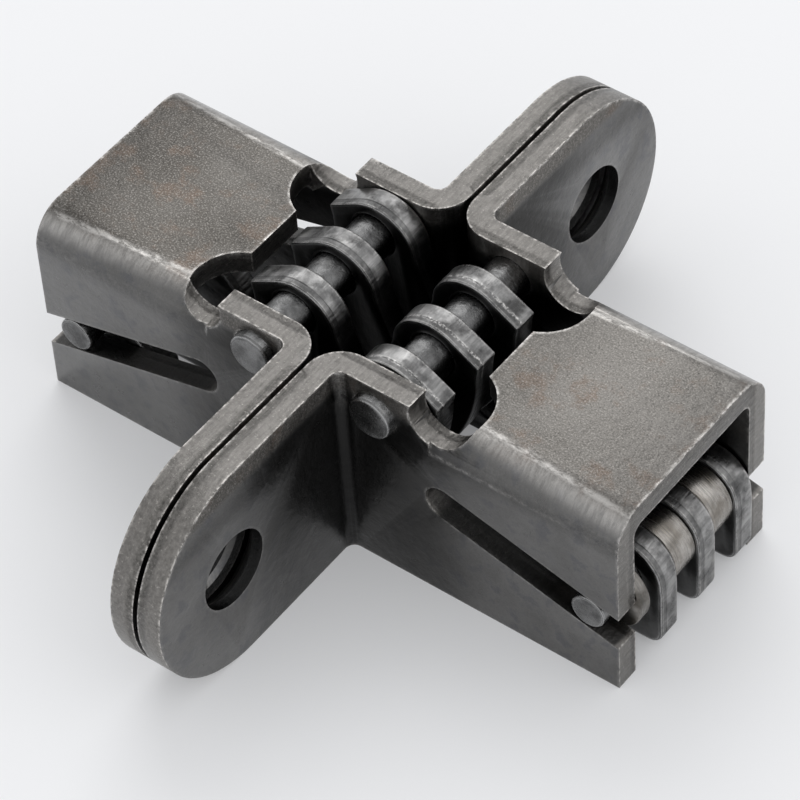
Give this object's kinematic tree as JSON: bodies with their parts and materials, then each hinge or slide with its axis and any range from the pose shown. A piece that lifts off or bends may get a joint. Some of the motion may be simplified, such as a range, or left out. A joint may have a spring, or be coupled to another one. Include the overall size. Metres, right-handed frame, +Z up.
{
  "type": "door hinge",
  "caption": "Small concealed crossed-link door hinge, closed: two stamped steel leaves with screw ears, joined by link plates that turn on fixed, centre and sliding pins",
  "frame": {"origin": "under the middle of the closed hinge, level with the low edges of the side walls", "axes": "X through the depth of the leaves, Y from ear to ear, Z up to the webs; the leaves open towards Z"},
  "size_m": [0.04, 0.045, 0.0141],
  "materials": {
    "leaf_steel": "dark oxide, fine grain on the webs, worn bright along the bends and edges",
    "link_steel": "dark oxide faces, bright stamped edges",
    "pin_steel": "grey drawn steel with bright cut ends",
    "bushing_steel": "turned steel, faint rings, warm grey"
  },
  "bodies": {
    "right_leaf": {"right_housing": "leaf_steel", "right_fixed_pin": "pin_steel"},
    "right_links": {"right_link_near": "link_steel", "right_link_middle": "link_steel", "right_link_far": "link_steel", "left_slide_pin": "pin_steel", "left_wall_washer": "bushing_steel", "left_bushing_inner": "bushing_steel", "left_bushing_outer": "bushing_steel"},
    "left_links": {"left_link_near": "link_steel", "left_link_middle": "link_steel", "left_link_far": "link_steel", "centre_pin": "pin_steel", "right_slide_pin": "pin_steel", "right_wall_washer": "bushing_steel", "right_bushing_inner": "bushing_steel", "right_bushing_outer": "bushing_steel"},
    "left_leaf": {"left_housing": "leaf_steel", "left_fixed_pin": "pin_steel"},
    "right_pin_ends": {"right_slide_pin_ends": "pin_steel"},
    "left_pin_ends": {"left_slide_pin_ends": "pin_steel"}
  },
  "joints": [
    {"name": "hinge_open", "type": "hinge", "parent": "right_leaf", "child": "right_links", "pos_m": [0.004, 0, 0.012], "axis": [0, 1, 0], "range_deg": [0, 120.89]},
    {"name": "link_cross", "type": "hinge", "parent": "right_links", "child": "left_links", "pos_m": [0, 0, 0.0018], "axis": [0, 1, 0], "range_deg": [-61.9, 0.1]},
    {"name": "left_fixed_pivot", "type": "hinge", "parent": "left_links", "child": "left_leaf", "pos_m": [-0.004, 0, 0.012], "axis": [0, 1, 0], "range_deg": [-0.1, 121]},
    {"name": "right_slot_slide", "type": "slide", "parent": "right_leaf", "child": "right_pin_ends", "axis": [-0.9668, 0, 0.2554], "range_m": [-0.00001, 0.00884]},
    {"name": "left_slot_slide", "type": "slide", "parent": "left_leaf", "child": "left_pin_ends", "axis": [0.9668, 0, 0.2554], "range_m": [-0.00001, 0.00884]}
  ],
  "couplings": [
    {"joint": "link_cross", "follows": "hinge_open", "ratio": -0.51112},
    {"joint": "left_fixed_pivot", "follows": "hinge_open", "ratio": 1},
    {"joint": "right_slot_slide", "follows": "hinge_open", "m_per_rad": 0.0041829},
    {"joint": "left_slot_slide", "follows": "hinge_open", "m_per_rad": 0.0041829}
  ]
}
